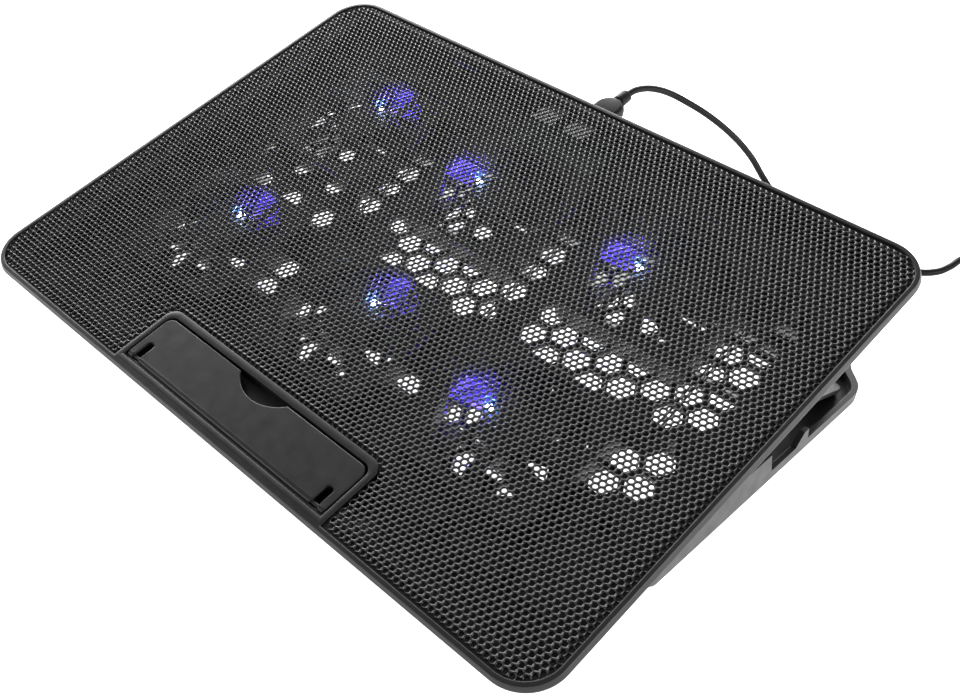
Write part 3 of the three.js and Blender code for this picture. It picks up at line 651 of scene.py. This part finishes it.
def make_laptop_stop():
    notch_s, notch_r = 46.4, 20.2
    half = math.asin(15.7 / notch_r)
    notch = [
        (notch_r * math.sin(a), notch_s - notch_r * math.cos(a)) for a in np.linspace(half, -half, 25)
    ]
    right = [(66.2, 9), (66.2, 29.2)]
    right += [
        (61.7 + 4.5 * math.cos(a), 29.2 + 4.5 * math.sin(a)) for a in np.linspace(0, math.pi / 2, 8)[1:]
    ]
    slot_right = [(58.4, 9), (58.4, 16.4)]
    slot_right += [
        (60.4 - 2 * math.cos(a), 16.4 + 2 * math.sin(a)) for a in np.linspace(0, math.pi, 8)[1:-1]
    ]
    slot_right += [(62.4, 16.4), (62.4, 9)]
    left = [(-x, s) for x, s in reversed(right)]
    slot_left = [(-x, s) for x, s in reversed(slot_right)]
    border = slot_right + right + notch + left + slot_left
    flap = plate(border, -2.3, -0.1, 0.45, 3)
    pivots = []
    for x0, x1 in ((-58.3, 58.3), (62.6, 66.0), (-66.0, -62.6)):
        loops = []
        for x, r in ((x0, 1.5), (x0 + 0.3, 1.86), (x1 - 0.3, 1.86), (x1, 1.5)):
            loops.append([(x, s, z) for s, z in circle(*STOP_AXIS, r, 28)])
        pivots.append(loft(loops, cap_first=True, cap_last=True))
    for x0, x1 in ((58, 68.6), (-68.6, -58)):
        loops = [[(x, s, z) for s, z in circle(*STOP_AXIS, 1, 16)] for x in (x0, x1)]
        pivots.append(loft(loops, cap_first=True, cap_last=True))
    piece = build("stop_flap", *merge(flap, *pivots), DECK, "laptop_stop", SHELL, smooth=35)
    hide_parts("laptop_stop")


# ---- inside the deck ------------------------------------------------------------------------------
BEAM_WATTS, HALO_WATTS, GLARE_WATTS = 1.5, 0.3, 0.16
VIOLET, CYAN = (0.10, 0.06, 1.0), (0.15, 0.45, 1.0)


def led_offset(index):
    return (-13.4, 2.4) if index in (2, 4, 5) else (2.4, 13.4)


def lamp_light(name, energy, color, angle, blend, place, aim):
    light = bpy.data.lights.new(name, "SPOT")
    light.energy, light.color = energy, color
    light.spot_size, light.spot_blend = math.radians(angle), blend
    light.shadow_soft_size = 0.001
    holder = bpy.data.objects.new(name, light)
    bpy.context.scene.collection.objects.link(holder)
    turn = aim.to_track_quat("-Z", "Y").to_matrix().to_4x4()
    holder.matrix_world = DECK @ Matrix.Translation(place / 1000) @ turn
    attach(holder, "deck")


def make_lamps():
    """Each lamp throws light outward over the blades, and a soft glow stands on the mesh above it."""
    down = Vector((0, 0, -1))
    for index, (x, s) in enumerate(FANS):
        dx, ds = led_offset(index)
        outward = Vector((dx, ds, 0)).normalized()
        lamp = Vector((x + dx, s + ds, 0))
        lamp_light(f"led_beam_{index + 1}", BEAM_WATTS, VIOLET, 76, 0.25,
                   lamp + outward * 1.6 + Vector((0, 0, -3)), outward * 0.76 - Vector((0, 0, 0.64)))
        lamp_light(f"led_halo_{index + 1}", HALO_WATTS, VIOLET, 72, 1.0,
                   lamp + outward * 9 + Vector((0, 0, 18)), down)
        lamp_light(f"led_glare_{index + 1}", GLARE_WATTS, CYAN, 50, 1.0, lamp + Vector((0, 0, 8)), down)
        nodes[f"led_{index + 1}"].data.materials[0] = LENS


def make_electronics():
    joints = []
    for i in range(16):
        x = -31 + 3.3 * i
        ring, tip = circle(x, 228, 0.9, 12), circle(x, 228, 0.35, 12)
        joints.append(loft([at(ring, -11.64), at(tip, -10.6)], cap_first=True, cap_last=True))
    pads = build("solder_joints", *merge(*joints), DECK, "deck", SOLDER, smooth=60)
    wires = []
    for index, (x, s) in enumerate(FANS):
        for strand in range(2):
            bx = -30 + 6.6 * index + 3.3 * strand
            lane = 138.5 + 1.7 * (index % 3) + 5 * strand / 6
            gap = x + 38.5 + 1.7 * strand + (2.5 if s > 150 else 0)
            route = [(x + 33, s + 33.5, -12), (gap, s + 36, -15.2), (gap, 222 + index * 0.4, -15.4),
                     ((gap + bx) / 2, 223.5 + index * 0.3, -15.2), (bx, 224.6, -14), (bx, 228, -11.2)]
            if s < 150:
                route = [(x + 33, s + 33.5, -12), (gap, s + 40, -15.2), (gap, lane + 12, -15.2),
                         (gap, 200, -15.4), (gap, 222, -15.2), ((gap + bx) / 2, 224 + index * 0.3, -15.2),
                         (bx, 225, -14), (bx, 228, -11.2)]
            path, _ = smooth_path(route, 3)
            wires.append(tube(path, 0.55, 6))
    loom = build("fan_wires", *merge(*wires), DECK, "deck", WIRE, smooth=80)


make_top_frame()
make_mesh_panel()
make_bottom_cover()
make_laptop_stop()
make_lamps()
make_electronics()


# ---- carried-over CAD pieces ----------------------------------------------------------------------
FINISHES = [
    ("cover_screw", DARK_STEEL), ("deck_pad", RUBBER), ("fan_frame", FAN), ("impeller", FAN),
    ("usb_board", BOARD), ("usb_port", NICKEL), ("usb_tongue", WHITE), ("switch_body", COVER),
    ("switch_slider", WHITE),
    ("prop_pin", DARK_STEEL), ("prop", STAND_PLASTIC), ("near_plug_shell", NICKEL),
    ("stand_frame", STAND_PLASTIC), ("hinge_pin", DARK_STEEL), ("stand_foot", RUBBER),
    ("far_plug_shell", NICKEL),
]
for name, node in nodes.items():
    for start, finish_material in FINISHES:
        if name.startswith(start):
            node.data.materials[0] = finish_material
            break


# ---- studio ---------------------------------------------------------------------------------------
def make_floor():
    material, tree, shader = new_material("studio_floor")
    floor_color = tint(tree, noise(tree, 3), (0.86, 0.86, 0.86), (0.9, 0.9, 0.9))
    tree.links.new(floor_color, shader.inputs["Base Color"])
    shader.inputs["Roughness"].default_value = 0.9
    shader.inputs["Emission Color"].default_value = (1, 1, 1, 1)
    shader.inputs["Emission Strength"].default_value = 1.2
    mesh = bpy.data.meshes.new("floor")
    mesh.from_pydata([(-4, -4, 0), (4, -4, 0), (4, 4, 0), (-4, 4, 0)], [], [(0, 1, 2, 3)])
    mesh.materials.append(material)
    floor = bpy.data.objects.new("floor", mesh)
    bpy.context.scene.collection.objects.link(floor)


def area_light(name, place, target, wide, tall, energy):
    data = bpy.data.lights.new(name, "AREA")
    data.shape, data.size, data.size_y, data.energy = "RECTANGLE", wide, tall, energy
    light = bpy.data.objects.new(name, data)
    bpy.context.scene.collection.objects.link(light)
    light.location = place
    light.rotation_euler = (Vector(target) - Vector(place)).to_track_quat("-Z", "Y").to_euler()


def make_studio():
    make_floor()
    area_light("rear_light", (-1.25, 1.05, 0.5), (0, 0, 0.05), 2.6, 0.9, 85)
    area_light("side_light", (1.5, 0.5, 0.36), (0, 0, 0.05), 1.1, 0.6, 26)
    area_light("top_light", (-1.2, 0.78, 0.86), (0, 0, 0), 1.0, 1.0, 8)
    area_light("front_light", (-1.0, -1.4, 0.5), (0, 0, 0), 0.8, 0.8, 9)
    world = bpy.data.worlds.new("studio_world")
    world.use_nodes = True
    sky = world.node_tree.nodes["Background"]
    sky.inputs["Color"].default_value = (1, 1, 1, 1)
    sky.inputs["Strength"].default_value = 0.48
    scene = bpy.context.scene
    scene.world = world
    scene.view_settings.view_transform = "Standard"


make_studio()
